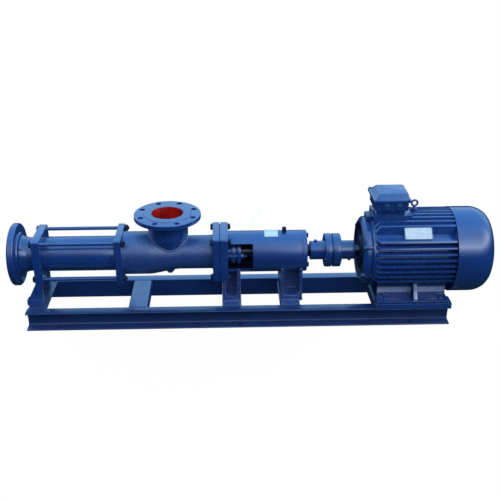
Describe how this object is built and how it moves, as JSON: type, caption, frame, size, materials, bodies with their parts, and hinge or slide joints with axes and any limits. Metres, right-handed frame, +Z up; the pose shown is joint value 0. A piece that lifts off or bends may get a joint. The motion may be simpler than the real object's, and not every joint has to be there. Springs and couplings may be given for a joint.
{
  "type": "progressive cavity pump",
  "caption": "Horizontal single-screw pump with an upright inlet flange, a coupled electric motor and a welded channel base frame.",
  "frame": {"origin": "centre of the unit's outline at floor level, under the pump's axis, where the base rails stand", "axes": "+X runs from the discharge flange to the motor along the pump's axis, +Z is up, +Y points away from the side that the picture shows"},
  "size_m": [1.551, 0.2792, 0.427],
  "materials": {
    "frame_paint": "glossy deep blue brushed paint on rolled steel",
    "pump_paint": "glossy deep blue paint on castings",
    "motor_paint": "glossy deep blue paint on a finned casting",
    "inlet_red_paint": "bright red primer inside the inlet",
    "bare_steel": "turned steel, lightly oiled",
    "stator_rubber": "moulded matt black rubber",
    "plate_metal": "bare satin plate",
    "fan_plastic": "moulded black"
  },
  "bodies": {
    "pump_unit": {"rail_front": "frame_paint", "rail_rear": "frame_paint", "crossmember_1": "frame_paint", "crossmember_2": "frame_paint", "crossmember_3": "frame_paint", "crossmember_4": "frame_paint", "crossmember_5": "frame_paint", "crossmember_6": "frame_paint", "motor_packer_front": "frame_paint", "motor_packer_rear": "frame_paint", "discharge_body": "pump_paint", "stator_tube": "pump_paint", "stator_lining": "stator_rubber", "tie_rod_1": "pump_paint", "tie_rod_2": "pump_paint", "tie_rod_3": "pump_paint", "tie_rod_4": "pump_paint", "housing_bolt_1": "pump_paint", "housing_bolt_2": "pump_paint", "housing_bolt_3": "pump_paint", "housing_bolt_4": "pump_paint", "suction_plate": "pump_paint", "suction_end_plate": "pump_paint", "suction_chamber": "pump_paint", "inlet_nozzle": "pump_paint", "drain_plug": "pump_paint", "bearing_housing": "pump_paint", "bearing_leg_front": "pump_paint", "bearing_leg_rear": "pump_paint", "packing_gland": "pump_paint", "bearing_inner": "bare_steel", "bearing_outer": "bare_steel", "bearing_cover": "pump_paint", "grease_nipple": "pump_paint", "pump_nameplate": "plate_metal", "motor_frame": "motor_paint", "motor_foot_near": "motor_paint", "motor_foot_far": "motor_paint", "drive_end_shield": "motor_paint", "rear_end_shield": "motor_paint", "fan_cowl": "motor_paint", "terminal_box": "motor_paint", "terminal_box_lid": "motor_paint", "eye_bolt": "motor_paint", "motor_nameplate": "plate_metal"},
    "drive_train": {"screw_rotor": "bare_steel", "connecting_rod": "bare_steel", "drive_shaft": "bare_steel", "coupling_half_pump": "pump_paint", "coupling_half_motor": "pump_paint", "motor_shaft": "bare_steel", "cooling_fan": "fan_plastic"}
  },
  "joints": [
    {"name": "shaft_rotation", "type": "hinge", "parent": "pump_unit", "child": "drive_train", "pos_m": [0.2655, 0, 0.215], "axis": [1, 0, 0], "continuous": true}
  ]
}
